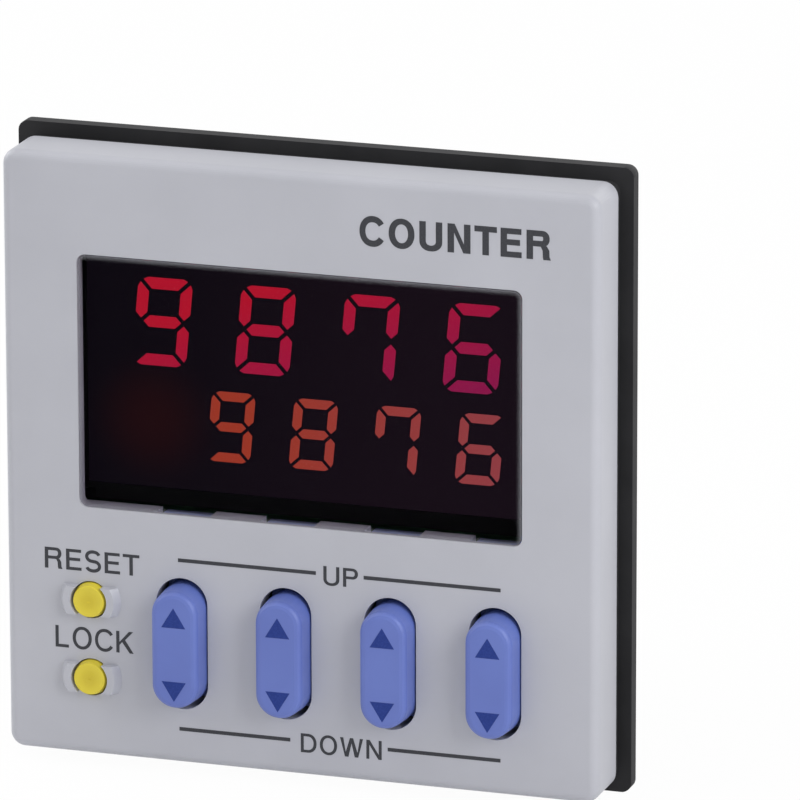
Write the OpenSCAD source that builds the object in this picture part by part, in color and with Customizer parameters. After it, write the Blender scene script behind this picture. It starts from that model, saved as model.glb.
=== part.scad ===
// Preset counter for a 45 mm square panel cut-out, with a short case and a round plug-in base.
// X is to the right, Z is up and the front faces -Y. The origin is the middle of the panel cut-out,
// in the plane where the gasket's back face meets the panel. Depths are measured back from the front face.

/* [Front bezel] */
// How far the front stands out past the case on every side
front_lip = 1.75; // [1.5:0.05:3]
// Depth of the bezel in front of the gasket
bezel_depth = 4.7; // [4.2:0.1:6]
// Thickness of the front wall
front_wall = 2; // [1.8:0.1:2.2]
// Radius of the front's corners
corner_r = 1.2; // [0.9:0.1:3]
// Radius of the round along the front's edges
edge_r = 0.75; // [0.4:0.05:0.85]
// Thickness of the skirt that plugs into the case
skirt_wall = 1.2; // [0.9:0.1:1.4]

/* [Panel fit] */
// Width and height of the case, made for a 45 mm cut-out
body_size = 44.5; // [44:0.1:45]
// Thickness of the case wall
case_wall = 1.5; // [1.2:0.1:1.6]
// Depth of the gasket's neck, between the bezel and its flange
gasket_neck_t = 1.4; // [0.8:0.1:2]
// How far the neck is set in from the front's edges
gasket_neck_inset = 0.3; // [0.1:0.05:0.8]
// Thickness of the gasket's flange, which lies on the panel
gasket_flange_t = 1.2; // [0.8:0.1:2]
// How far the flange stands out past the front
gasket_overhang = 0.8; // [0.5:0.02:2]
// Radius of the flange's corners
gasket_r = 0.8; // [0.5:0.1:2]

/* [Window and lens] */
// Distance of the window from the front's left and right edges
window_side = 6.1; // [5.8:0.05:7]
// Distance of the window from the front's top edge
window_head = 7.8; // [7.6:0.05:8.2]
// Distance of the window from the front's bottom edge
window_foot = 20.04; // [19.6:0.02:20.4]
// Radius of the window's corners
window_r = 0.7; // [0.3:0.1:1.2]
// Width of the lens flange behind the front wall
lens_flange = 0.8; // [0.5:0.1:1]
// Thickness of the lens flange
lens_flange_t = 0.8; // [0.6:0.1:1]

/* [Digits] */
// How many times taller the upper digits are than the lower ones
digit_ratio = 1.25; // [1.1:0.01:1.3]
// Distance from the window's top to the upper digits
upper_head = 1.9; // [1.6:0.05:2.2]
// Gap between the two rows of digits
row_gap = 1.62; // [1.4:0.02:1.8]
// Distance from the lower digits to the window's bottom
lower_foot = 4.04; // [3.8:0.02:4.2]
// Distance from the window's left side to the middle of the first upper digit
upper_left = 6.24; // [5.8:0.02:6.6]
// Distance from the middle of the last upper digit to the window's right side
upper_right = 4.48; // [4.2:0.02:4.8]
// Distance from the window's left side to the middle of the first lower digit
lower_left = 11.76; // [11.2:0.02:12.4]
// Distance from the middle of the last lower digit to the window's right side
lower_right = 4; // [3.6:0.02:4.4]
// Slant of the digits
digit_slant = 5.5; // [0:0.5:8]

/* [Digit keys] */
// Distance from the front's left edge to the middle of the first key
key_left = 14.415; // [14.2:0.005:14.8]
// Distance from the middle of the last key to the front's right edge
key_right = 8.235; // [8:0.005:8.8]
// Distance of the key row's middle from the front's bottom edge
key_rise = 9.74; // [9.6:0.02:9.9]
// Width of a key
key_w = 3.96; // [3.6:0.02:4.1]
// Height of a key where it leaves the front
key_h = 9.6; // [9:0.1:10]
// How far a key stands out of the front
key_proud = 2; // [1.2:0.1:2.6]
// Radius of the round along a key's front edge
key_round = 0.45; // [0.2:0.05:0.6]
// How far a key rocks each way, in degrees
key_swing = 4; // [2:0.5:4]
// Diameter of the shaft that the keys rock on
key_shaft_d = 1; // [0.8:0.1:1.2]

/* [Push buttons] */
// Diameter of the holes that the push buttons sit in
button_hole_d = 3; // [2.8:0.02:3.2]
// How much a button narrows on each side towards its face
button_taper = 0.12; // [0.1:0.02:0.3]
// How far a button stands out of the front
button_proud = 0.6; // [0.3:0.1:0.7]
// Travel of a button
button_travel = 0.3; // [0.2:0.05:0.3]
// Distance of the buttons from the front's left edge
button_left = 6.95; // [6.8:0.05:7.2]
// Distance of the upper button from the front's bottom edge
reset_rise = 12.6; // [12.5:0.02:12.8]
// Distance of the lower button from the front's bottom edge
lock_rise = 6.34; // [6.3:0.02:6.5]
// How far the guards on either side of a button stand out of the front
guard_proud = 0.65; // [0.4:0.05:0.8]
// Width of a guard's flat top, beside the button's hole
guard_top = 0.58; // [0.4:0.02:0.7]
// Width of a guard's sloping outer side
guard_slope = 0.42; // [0.3:0.02:0.6]
// Height of the level band that the guards are kept to
guard_band = 2.26; // [2:0.02:2.6]

/* [Case and plug base] */
// Depth of the full-width part of the case, behind the panel's front
case_full_depth = 7.6; // [7.2:0.1:8]
// Depth of the case behind the panel's front
case_depth = 16; // [15.6:0.1:17]
// Margin of the case's rear step round the plug base
rear_margin = 3; // [2.7:0.1:3.4]
// Diameter of the round plug base
base_d = 33; // [32:0.5:34]
// Depth of the plug base behind the case
base_depth = 5; // [4:0.5:7]
// Number of plug pins
pin_count = 11; // [8:1:11]
// Diameter of the circle that the pins stand on
pin_circle_d = 19.05; // [18:0.05:20]
// Diameter of a plug pin behind the base
pin_d = 2.36; // [2.2:0.02:2.5]
// Length of a plug pin behind the base
pin_l = 12; // [10:0.5:13]
// Diameter of the locating post
post_d = 10.6; // [10:0.1:11]
// Length of the locating post behind the base
post_l = 13.7; // [13.2:0.1:15]

/* [Hidden] */
$fn = 48;

// Clearances between pieces that meet
rim_gap = 0.15;
skirt_gap = 0.1;
lens_gap = 0.06;
board_gap = 0.25;
shaft_gap = 0.05;
key_side_gap = 0.11;
key_end_gap = 0.14;
button_gap = 0.1;
flange_gap = 0.15;
switch_gap = 0.1;

// Panel side of the front
front_size = body_size + 2 * front_lip;
front_half = front_size / 2;
flange_depth = bezel_depth + gasket_neck_t;
seat_depth = flange_depth + gasket_flange_t;
face_y = -seat_depth;
body_half = body_size / 2;
rim_half = body_half + rim_gap;
case_inner = body_half - case_wall;
skirt_half = case_inner - skirt_gap;
cavity_half = skirt_half - skirt_wall;
body_r = 2;
case_inner_r = 0.5;

// Window, lens and display stack, each named by its depth behind the front face
window_w = front_size - 2 * window_side;
window_h = front_size - window_head - window_foot;
window_z = (window_foot - window_head) / 2;
window_bottom = window_foot - front_half;
window_top = front_half - window_head;
lens_w = window_w - 2 * lens_gap;
lens_h = window_h - 2 * lens_gap;
frame_front = front_wall + lens_flange_t;
frame_lip_t = 0.3;
glass_front = frame_front + frame_lip_t;
glass_t = 1.8;
guide_front = glass_front + glass_t;
guide_t = 2.2;
guide_foot = 1.4;
board_front = guide_front + guide_t + guide_foot;
board_t = 1.2;
board_back = board_front + board_t;
board_half = case_inner - board_gap;

// Display frame, glass and light guide
frame_over = 1.2;
frame_wall = 0.8;
frame_floor = 0.25;
frame_bottom = window_bottom + frame_floor;
frame_top = window_top + frame_over;
frame_half = window_w / 2 + frame_over;
glass_half = frame_half - frame_wall;
glass_bottom = frame_bottom + frame_wall;
glass_top = frame_top - frame_wall;
lip_w = 0.5;
strip_w = 1.5;
strip_inset = 0.3;
guide_top = glass_top - strip_inset - strip_w - strip_inset;
lower_digit_h = (window_h - upper_head - row_gap - lower_foot) / (1 + digit_ratio);
upper_digit_h = digit_ratio * lower_digit_h;
upper_pitch = (window_w - upper_left - upper_right) / 3;
lower_pitch = (window_w - lower_left - lower_right) / 3;
digit_film = 0.08;
stroke_share = 0.15;
width_share = 0.63;
segment_gap_share = 0.034;
led_w = 3.2;
led_h = 2.8;
led_t = 0.9;
led_pitch = 8;
guide_edge = 0.1;
foot_side = 2;

// Rocker keys and their shaft
key_pitch = (front_size - key_left - key_right) / 3;
key_row_x = (key_left - key_right) / 2;
key_z = key_rise - front_half;
key_slot_w = key_w + 2 * key_side_gap;
pivot_depth = front_wall + 2.2;
key_slot_h = key_h + 2 * (pivot_depth * sin(key_swing) + key_end_gap) + key_side_gap;
arm_front = front_wall + 0.6;
arm_back = pivot_depth - 0.2;
arm_down = key_h / 2 + 0.1;
tip_top = window_bottom - 0.35;
tip_front = front_wall - 0.25;
tip_h = 2.1;
hub_r = key_shaft_d / 2 + 0.85;
leg_side = 1.8;
leg_offset = 3.4;
notch_w = key_w + 0.44;
notch_front = front_wall - 1.3;
notch_low = tip_top - tip_h - 0.4;
rib_t = 1;
rib_half = 2;
rib_mouth = 0.85;
rib_back = pivot_depth + 0.9;
ledge_t = 1.2;
ledge_back = frame_front + 0.4;
outer_rib = 1.5 * key_pitch + key_w / 2 + 0.35 + rib_t / 2;
key_columns = [for (i = [0:3]) key_row_x + (i - 1.5) * key_pitch];
rib_columns = [key_row_x - outer_rib, key_row_x - key_pitch, key_row_x,
    key_row_x + key_pitch, key_row_x + outer_rib];

// Small push switches on the display board
switch_w = 4;
switch_h = 2.9;
switch_body_t = 1.6;
plunger_d = 1.8;
plunger_t = 0.7;
plunger_front = board_front - switch_body_t - plunger_t;
key_stroke = leg_offset * sin(key_swing);
button_x = front_half - button_left;
reset_drop = front_half - reset_rise;
lock_drop = front_half - lock_rise;
leg_tip = plunger_front - key_stroke - switch_gap;
button_tip = plunger_front - button_travel - switch_gap / 2;
bush_back = front_wall + 1.4;
button_hole_r = button_hole_d / 2;
button_r = button_hole_r - button_gap;
bush_r = button_hole_r + 0.7;
button_flange_r = button_hole_r + 0.25;
button_flange_t = 0.8;
button_stem_r = 0.9;
button_edge = 0.12;
button_dish = 0.06;
guard_r = button_hole_r + guard_top + guard_slope;

// Case, its snap windows and its clamp teeth
case_front = front_wall + 0.2;
full_back = seat_depth + case_full_depth;
rear_size = base_d + 2 * rear_margin;
shoulder = body_half - rear_size / 2;
shoulder_back = full_back + shoulder;
rear_half = rear_size / 2;
rear_inner = rear_half - case_wall;
case_back = seat_depth + case_depth;
rear_wall_front = case_back - case_wall;
hook_w = 5;
hook_z = 12;
hook_l = 1.4;
hook_front = board_front - hook_l - 0.2;
hook_out = case_wall - 0.2 + skirt_gap;
hook_gap = 0.15;
tooth_pitch = 1.2;
tooth_depth = 0.5;
tooth_w = 12;
tooth_count = 5;
tooth_start = full_back - 0.6 - tooth_count * tooth_pitch;

// Power board and what stands on it
power_t = 1.2;
flange_t = 1.5;
base_flange = 0.7;
base_gap = 0.1;
flange_front = rear_wall_front - flange_t;
power_back = flange_front - 1.1;
power_front = power_back - power_t;
power_half = rear_inner - 0.3;
pillar_side = 3;
pin_tail_d = 1.2;
pin_tail_gap = 0.05;
pin_shank_r = 1.1;
pin_fit = 0.02;
pin_tip = 0.8;
base_back = case_back + base_depth;
post_key_w = 1.8;
post_key_out = 1.2;
post_lead_in = 0.8;

// Pin header between the two boards
header_z = power_half - 2.2;
header_ways = 8;
header_pitch = 2.54;
header_side = 2.5;
header_pin = 0.64;

// Chips on the display board
mcu_x = 5;
mcu_z = 4;
mcu_side = 10;
mcu_t = 1.4;
mcu_leads = 8;
mcu_pitch = 0.8;
memory_x = -9;
memory_z = -14.5;
memory_w = 4;
memory_h = 4.9;
memory_t = 1.5;
memory_leads = 4;
memory_pitch = 1.27;
lead_w = 0.38;
lead_t = 0.3;
lead_reach = 1;
lead_lap = 0.1;
chip_lift = 0.1;

// Tall parts on the power board, each kept in from its edge
part_room = power_front - board_back;
tallest = 7;
tall_gap = 1.3;
tall_part = min(tallest, part_room - tall_gap);
part_edge = 1;
header_gap = 1.25;
trafo_w = 13;
trafo_h = 11;
trafo_edge = 1.7;
trafo_x = trafo_edge + trafo_w / 2 - power_half;
trafo_z = header_z - header_side / 2 - header_gap - trafo_h / 2;
core_t = 2.2;
core_lift = 0.8;
coil_gap = 0.1;
coil_inset = 0.6;
relay_w = 14;
relay_h = 6.4;
relay_x = power_half - part_edge - relay_w / 2;
relay_z = part_edge + relay_h / 2 - power_half;
coupler_w = 4.6;
coupler_t = 3.4;
coupler_pitch = 6;
can_gap = 2;
can_d = part_room - can_gap;
can_l = 11;
can_bead = 1.2;
can_groove = 0.35;
can_edge = 0.7;
can_x = power_half - can_edge - can_l;
can_z = header_z - header_side / 2 - 2 * header_gap - can_d / 2;
disc_d = 7;
disc_t = 3.2;
disc_edge = 2.6;
disc_x = disc_edge + disc_t / 2 - power_half;
disc_z = relay_z + disc_d / 2;
coupler_x = (disc_x + disc_t / 2 + relay_x - relay_w / 2) / 2;

// Places depth d behind the front face, with the 2-D outline in X and Z
module layer(d0, d1) {
    translate([0, face_y + d1, 0]) rotate([90, 0, 0]) linear_extrude(d1 - d0) children();
}

module at_depth(d) {
    translate([0, face_y + d, 0]) children();
}

module rounded_rect(w, h, r) {
    square([w - 2 * r, h], center = true);
    square([w, h - 2 * r], center = true);
    for (sx = [-1, 1], sz = [-1, 1])
        translate([sx * (w / 2 - r), sz * (h / 2 - r)]) circle(r);
}

module stadium(w, h) {
    square([w, h - w], center = true);
    for (sz = [-1, 1]) translate([0, sz * (h - w) / 2]) circle(w / 2);
}

// A board, plate or chip given by its middle, its width and height and its two depths
module block(x, z, w, h, d0, d1) {
    layer(d0, d1) translate([x, z]) square([w, h], center = true);
}

// Half of the section of a round post with a rounded end, for rotate_extrude
module post_section(r, soft, from, to) {
    translate([0, from]) {
        square([r - soft, to - from]);
        square([r, to - from - soft]);
    }
    translate([r - soft, to - soft]) intersection() {
        circle(soft);
        square(soft);
    }
}

// A post at one corner of the front, rounded over at its front end
module corner_post() {
    rotate([90, 0, 0]) rotate_extrude($fn = 32) post_section(corner_r, edge_r, 0, bezel_depth);
}

module front_block() {
    at_depth(bezel_depth) hull()
        for (sx = [-1, 1], sz = [-1, 1])
            translate([sx * (front_half - corner_r), 0, sz * (front_half - corner_r)])
                corner_post();
}

// Low guard round a push button: a cone kept to a level band, so that it is open above and below
module button_guard() {
    intersection() {
        at_depth(0.01) rotate([90, 0, 0])
            cylinder(r1 = guard_r, r2 = guard_r - guard_slope, h = guard_proud + 0.01);
        layer(-guard_proud - 1, 1) square([2 * guard_r + 1, guard_band], center = true);
    }
}

// Wedge that snaps into a window of the case, on the right-hand side
module snap_hook() {
    translate([0, 0, -hook_w / 2]) linear_extrude(hook_w) polygon([
        [skirt_half, face_y + hook_front],
        [skirt_half + hook_out, face_y + hook_front],
        [skirt_half + hook_out, face_y + hook_front + hook_l / 4],
        [skirt_half, face_y + hook_front + hook_l]]);
}

// Rib behind the front that the key shaft snaps into from the back
module shaft_rib(x) {
    layer(front_wall - 0.01, rib_back)
        translate([x, key_z]) square([rib_t, 2 * rib_half], center = true);
}

module front_bezel() {
    color("lightsteelblue") difference() {
        union() {
            difference() {
                front_block();
                layer(front_wall, bezel_depth + 1) square(2 * rim_half, center = true);
            }
            layer(front_wall - 0.01, board_front) difference() {
                rounded_rect(2 * skirt_half, 2 * skirt_half, case_inner_r);
                square(2 * cavity_half, center = true);
            }
            for (side = [0, 1], z = [-hook_z, hook_z])
                mirror([side, 0, 0]) translate([0, 0, z]) snap_hook();
            for (x = rib_columns) shaft_rib(x);
            for (drop = [reset_drop, lock_drop]) translate([-button_x, 0, -drop]) {
                button_guard();
                layer(front_wall - 0.01, bush_back) circle(bush_r);
            }
            block(0, window_bottom - ledge_t / 2, window_w, ledge_t, front_wall - 0.01, ledge_back);
        }
        layer(-1, front_wall + 0.5) translate([0, window_z]) rounded_rect(window_w, window_h, window_r);
        for (x = key_columns) {
            layer(-1, front_wall + 0.5) translate([x, key_z]) stadium(key_slot_w, key_slot_h);
            layer(notch_front, ledge_back + 1) translate([x - notch_w / 2, notch_low])
                square([notch_w, window_bottom - notch_low + 0.2]);
        }
        for (drop = [reset_drop, lock_drop]) translate([-button_x, 0, -drop]) {
            layer(-guard_proud - 1, bush_back + 1) circle(button_hole_r);
            layer(bush_back, board_front + 1) circle(button_flange_r + button_gap);
        }
        at_depth(pivot_depth) translate([key_row_x - outer_rib - rib_t, 0, key_z]) {
            rotate([0, 90, 0]) cylinder(d = key_shaft_d + 2 * shaft_gap, h = 2 * (outer_rib + rib_t));
            translate([0, 0, -rib_mouth / 2])
                cube([2 * (outer_rib + rib_t), rib_back - pivot_depth + 1, rib_mouth]);
        }
    }
}

// Neck behind the bezel and a wider flange on the panel, as one ring
module panel_gasket() {
    neck_size = front_size - 2 * gasket_neck_inset;
    flange_size = front_size + 2 * gasket_overhang;
    color("dimgray") difference() {
        union() {
            layer(bezel_depth, seat_depth) rounded_rect(neck_size, neck_size, gasket_r);
            layer(flange_depth, seat_depth) rounded_rect(flange_size, flange_size, gasket_r);
        }
        layer(bezel_depth - 1, seat_depth + 1) rounded_rect(2 * rim_half, 2 * rim_half, body_r);
    }
}

// The lens fills the window, with a flange behind the wall along its top and sides
module display_lens() {
    color([0.1, 0.07, 0.09]) {
        translate([0, 0, window_z]) layer(0, front_wall + lens_flange_t)
            rounded_rect(lens_w, lens_h, window_r);
        layer(front_wall, front_wall + lens_flange_t)
            translate([-lens_w / 2 - lens_flange, window_bottom + frame_floor])
                square([lens_w + 2 * lens_flange, window_h - frame_floor + lens_flange]);
    }
}

// One stadium slice of a key's cap, at depth d and smaller all round by inset
module key_slice(d, inset) {
    layer(d, d + 0.02) for (sz = [-1, 1])
        translate([0, sz * (key_h - key_w) / 2]) circle(key_w / 2 - inset, $fn = 40);
}

module digit_key(i) {
    color("royalblue") translate([key_columns[i], 0, key_z]) difference() {
        union() {
            hull() {
                key_slice(-key_proud, key_round + 0.16);
                key_slice(-key_proud + key_round * 0.12, key_round * 0.5 + 0.14);
                key_slice(-key_proud + key_round * 0.42, key_round * 0.15 + 0.12);
                key_slice(-key_proud + key_round, 0.1);
                key_slice(0, 0);
                key_slice(arm_back - 0.02, 0);
            }
            block(0, (tip_top - key_z - arm_down) / 2, key_w, tip_top - key_z + arm_down,
                arm_front, arm_back);
            block(0, tip_top - key_z - tip_h / 2, key_w, tip_h, tip_front, arm_back);
            at_depth(pivot_depth) rotate([0, 90, 0]) cylinder(r = hub_r, h = key_w, center = true);
            for (sz = [-1, 1])
                block(0, sz * leg_offset, leg_side, leg_side, arm_back - 0.01, leg_tip);
        }
        at_depth(pivot_depth) rotate([0, 90, 0])
            cylinder(d = key_shaft_d + 2 * shaft_gap, h = key_w + 1, center = true);
    }
}

module digit_key_1() { digit_key(0); }
module digit_key_2() { digit_key(1); }
module digit_key_3() { digit_key(2); }
module digit_key_4() { digit_key(3); }

module key_shaft() {
    color("silver") at_depth(pivot_depth) translate([key_row_x, 0, key_z]) rotate([0, 90, 0])
        cylinder(d = key_shaft_d, h = 2 * outer_rib + rib_t, center = true);
}

// A round button that narrows to a slightly dished face, with a flange behind the bush and a stem
module push_button(drop) {
    flange_at = button_tip - bush_back - flange_gap;
    face_at = button_tip + button_proud;
    face_r = button_r - button_taper;
    color("gold") translate([-button_x, face_y + button_tip, -drop]) rotate([90, 0, 0])
        rotate_extrude() {
            square([button_stem_r, flange_at]);
            translate([0, flange_at - button_flange_t]) square([button_flange_r, button_flange_t]);
            polygon([[0, flange_at - 0.01], [button_r, flange_at - 0.01], [button_r, button_tip],
                [face_r, face_at - button_edge], [face_r - button_edge / 4, face_at - button_edge / 4],
                [face_r - button_edge, face_at], [face_r / 2, face_at - 0.75 * button_dish],
                [0, face_at - button_dish]]);
        }
}

module reset_button() { push_button(reset_drop); }
module lock_button() { push_button(lock_drop); }

// Black frame that holds the glass and the light guide against the lens
module lcd_frame() {
    frame_h = frame_top - frame_bottom;
    frame_mid = (frame_top + frame_bottom) / 2;
    color([0.12, 0.12, 0.13]) difference() {
        block(0, frame_mid, 2 * frame_half, frame_h, frame_front, board_front);
        block(0, frame_mid, 2 * (glass_half - lip_w), glass_top - glass_bottom - 2 * lip_w,
            frame_front - 1, glass_front + 1);
        block(0, frame_mid, 2 * glass_half, glass_top - glass_bottom, glass_front, board_front + 1);
    }
}

module lcd_glass() {
    color([0.2, 0.2, 0.24]) block(0, (glass_top + glass_bottom) / 2, 2 * (glass_half - guide_edge),
        glass_top - glass_bottom - 2 * guide_edge, glass_front, guide_front);
}

// Segments of a digit of height 1, centred. The middle bar has six sides
module middle_bar() {
    s = stroke_share / 2;
    g = segment_gap_share;
    w = width_share / 2;
    polygon([[-w + s + g, 0], [-w + 2 * s + g, s], [w - 2 * s - g, s], [w - s - g, 0],
        [w - 2 * s - g, -s], [-w + 2 * s + g, -s]]);
}

// Top and bottom bars are mitred at 45 degrees, uprights are cut to meet them
module end_bar() {
    s = stroke_share;
    g = segment_gap_share;
    w = width_share / 2;
    polygon([[-w + g, 0.5], [w - g, 0.5], [w - s - g, 0.5 - s], [-w + s + g, 0.5 - s]]);
}

module upright() {
    s = stroke_share;
    g = segment_gap_share;
    w = width_share / 2;
    polygon([[w, 0.5 - g], [w, s / 2 + g], [w - s / 2, g], [w - s, s / 2 + g], [w - s, 0.5 - s - g]]);
}

// Segments a to g by number 0 to 6: top, upper right, lower right, bottom, lower left,
// upper left, middle
module segment(k) {
    if (k == 0) end_bar();
    if (k == 1) upright();
    if (k == 2) mirror([0, 1]) upright();
    if (k == 3) mirror([0, 1]) end_bar();
    if (k == 4) mirror([1, 0]) mirror([0, 1]) upright();
    if (k == 5) mirror([1, 0]) upright();
    if (k == 6) middle_bar();
}

// Segments that are lit for each figure from 0 to 9
LIT = [[0, 1, 2, 3, 4, 5], [1, 2], [0, 1, 3, 4, 6], [0, 1, 2, 3, 6], [1, 2, 5, 6],
    [0, 2, 3, 5, 6], [0, 2, 3, 4, 5, 6], [0, 1, 2, 5], [0, 1, 2, 3, 4, 5, 6], [0, 1, 2, 3, 5, 6]];

// Figures of height h, the first one's middle at first_x
module digit_row(figures, h, pitch, first_x, z) {
    layer(glass_front - digit_film, glass_front) for (i = [0:len(figures) - 1])
        translate([first_x + i * pitch, z])
            multmatrix([[h, h * tan(digit_slant), 0, 0], [0, h, 0, 0], [0, 0, 1, 0], [0, 0, 0, 1]])
                for (k = LIT[figures[i]]) segment(k);
}

module upper_digits() {
    color("crimson") digit_row([9, 8, 7, 6], upper_digit_h, upper_pitch,
        upper_left - window_w / 2, window_top - upper_head - upper_digit_h / 2);
}

module lower_digits() {
    color("coral") digit_row([9, 8, 7, 6], lower_digit_h, lower_pitch,
        lower_left - window_w / 2, window_bottom + lower_foot + lower_digit_h / 2);
}

// Clear plate behind the glass, on four feet
module light_guide() {
    w = 2 * (glass_half - guide_edge);
    low = glass_bottom + guide_edge;
    color("whitesmoke") {
        layer(guide_front, guide_front + guide_t) translate([-w / 2, low]) square([w, guide_top - low]);
        for (sx = [-1, 1], z = [low + foot_side / 2, guide_top - foot_side / 2])
            block(sx * (w - foot_side) / 2, z, foot_side, foot_side, guide_front + guide_t - 0.01,
                board_front);
    }
}

module backlight_leds() {
    color("ivory") for (i = [0:3], share = [0.32, 0.68])
        block((i - 1.5) * led_pitch, glass_bottom + share * (guide_top - glass_bottom), led_w, led_h,
            board_front - led_t, board_front);
}

// Striped rubber strip that joins the glass to the board
module contact_strip() {
    color("darkgray") block(0, glass_top - strip_inset - strip_w / 2, 2 * (glass_half - 1), strip_w,
        guide_front, board_front);
}

module display_board() {
    color("seagreen") block(0, 0, 2 * board_half, 2 * board_half, board_front, board_back);
}

module tact_switch(x, z) {
    block(x, z, switch_w, switch_h, board_front - switch_body_t, board_front);
    layer(plunger_front, board_front - switch_body_t + 0.01) translate([x, z]) circle(d = plunger_d);
}

module tact_switches() {
    color("black") {
        for (x = key_columns, sz = [-1, 1]) tact_switch(x, key_z + sz * leg_offset);
        for (drop = [reset_drop, lock_drop]) tact_switch(-button_x, -drop);
    }
}

// Flat package with leads on four sides, soldered to the back of the display board
module microcontroller() {
    color([0.15, 0.15, 0.16]) translate([mcu_x, 0, mcu_z]) {
        block(0, 0, mcu_side, mcu_side, board_back + chip_lift, board_back + mcu_t);
        for (turn = [0:90:270], i = [0:mcu_leads - 1]) rotate([0, turn, 0])
            block((i - (mcu_leads - 1) / 2) * mcu_pitch, (mcu_side + lead_reach - lead_lap) / 2, lead_w,
                lead_reach + lead_lap, board_back, board_back + lead_t);
    }
}

// Small package with leads on two sides
module memory_chip() {
    color([0.15, 0.15, 0.16]) translate([memory_x, 0, memory_z]) {
        block(0, 0, memory_w, memory_h, board_back + chip_lift, board_back + memory_t);
        for (sx = [-1, 1], i = [0:memory_leads - 1])
            block(sx * (memory_w + lead_reach - lead_lap) / 2, (i - (memory_leads - 1) / 2) * memory_pitch,
                lead_reach + lead_lap, lead_w, board_back, board_back + lead_t);
    }
}

module header_blocks() {
    w = header_ways * header_pitch;
    color("black") {
        block(0, header_z, w, header_side, board_back, board_back + header_side);
        block(0, header_z, w, header_side, power_front - header_side, power_front);
    }
}

module header_pins() {
    color("gold") for (i = [0:header_ways - 1])
        block((i - (header_ways - 1) / 2) * header_pitch, header_z, header_pin, header_pin,
            board_back + header_side, power_front - header_side);
}

// Places of the plug pins on their circle, with the first gap at the key of the post
function pin_angle(i) = 270 + (i + 0.5) * 360 / pin_count;

module on_pin_circle() {
    for (i = [0:pin_count - 1])
        translate([pin_circle_d / 2 * cos(pin_angle(i)), pin_circle_d / 2 * sin(pin_angle(i))])
            children();
}

module power_board() {
    color("seagreen") layer(power_front, power_back) difference() {
        square(2 * power_half, center = true);
        on_pin_circle() circle(d = pin_tail_d + 2 * pin_tail_gap);
    }
}

// Small mains transformer: an iron core round a wound bobbin
module transformer_core() {
    color("dimgray") translate([trafo_x, 0, trafo_z]) difference() {
        block(0, 0, trafo_w, trafo_h, power_front - tall_part, power_front - core_lift);
        for (sx = [-1, 1])
            block(sx * trafo_w / 4, 0, trafo_w / 2 - 2 * core_t, trafo_h - 2 * core_t,
                power_front - tall_part - 1, power_front + 1);
    }
}

module transformer_coil() {
    color("darkgoldenrod") translate([trafo_x, 0, trafo_z]) for (sx = [-1, 1])
        block(sx * trafo_w / 4, 0, trafo_w / 2 - 2 * (core_t + coil_gap), trafo_h - 2 * (core_t + coil_gap),
            power_front - tall_part + coil_inset, power_front);
}

module output_relay() {
    color([0.16, 0.16, 0.18]) block(relay_x, relay_z, relay_w, relay_h, power_front - tall_part,
        power_front);
}

// Can lying on the board, with its beaded end
module smoothing_capacitor() {
    color("midnightblue") translate([can_x, face_y + power_front - can_d / 2, can_z])
        rotate([0, 90, 0]) rotate_extrude() {
            square([can_d / 2, can_l - can_bead - 2 * can_groove]);
            square([can_d / 2 - can_groove, can_l]);
            translate([0, can_l - can_bead]) square([can_d / 2, can_bead]);
        }
}

module surge_disc() {
    color("steelblue") translate([disc_x, face_y + power_front - disc_d / 2, disc_z])
        rotate([0, 90, 0]) cylinder(d = disc_d, h = disc_t, center = true);
}

module input_couplers() {
    color([0.15, 0.15, 0.16]) for (side = [-0.5, 0.5])
        block(coupler_x + side * coupler_pitch, relay_z, coupler_w, relay_h, power_front - coupler_t,
            power_front);
}

// Square tube of the case, solid, from its front edge to its rear step
module case_shape(full, rear, r, d0, d_step, d_shoulder, d1) {
    layer(d0, d_step) rounded_rect(2 * full, 2 * full, r);
    hull() {
        layer(d_step - 0.02, d_step) rounded_rect(2 * full, 2 * full, r);
        layer(d_shoulder - 0.02, d_shoulder) rounded_rect(2 * rear, 2 * rear, r);
    }
    layer(d_shoulder - 0.02, d1) rounded_rect(2 * rear, 2 * rear, r);
}

// Row of saw teeth cut into the top of the case, for the clamp that draws it to the panel
module clamp_teeth() {
    over = body_half + tooth_depth;
    translate([-tooth_w / 2, 0, 0]) rotate([90, 0, 90]) linear_extrude(tooth_w)
        for (i = [0:tooth_count - 1]) polygon([
            [face_y + tooth_start + i * tooth_pitch, over],
            [face_y + tooth_start + i * tooth_pitch, body_half - tooth_depth],
            [face_y + tooth_start + (i + 0.9) * tooth_pitch, body_half],
            [face_y + tooth_start + (i + 0.9) * tooth_pitch, over]]);
}

module rear_case() {
    color("lightsteelblue") difference() {
        union() {
            difference() {
                case_shape(body_half, rear_half, body_r, case_front, full_back, shoulder_back, case_back);
                case_shape(case_inner, rear_inner, case_inner_r, case_front - 1, full_back,
                    shoulder_back, rear_wall_front);
            }
            for (sx = [-1, 1], sz = [-1, 1])
                block(sx * (rear_inner - pillar_side / 2), sz * (rear_inner - pillar_side / 2),
                    pillar_side + 0.1, pillar_side + 0.1, power_back, rear_wall_front + 0.1);
        }
        layer(rear_wall_front - 1, case_back + 1) circle(d = base_d + 2 * base_gap, $fn = 96);
        for (side = [0, 1], z = [-hook_z, hook_z]) mirror([side, 0, 0])
            translate([skirt_half, face_y + hook_front - hook_gap, z - hook_w / 2 - hook_gap])
                cube([case_wall + 2, hook_l + 2 * hook_gap, hook_w + 2 * hook_gap]);
        for (side = [0, 1]) mirror([0, 0, side]) clamp_teeth();
    }
}

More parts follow.
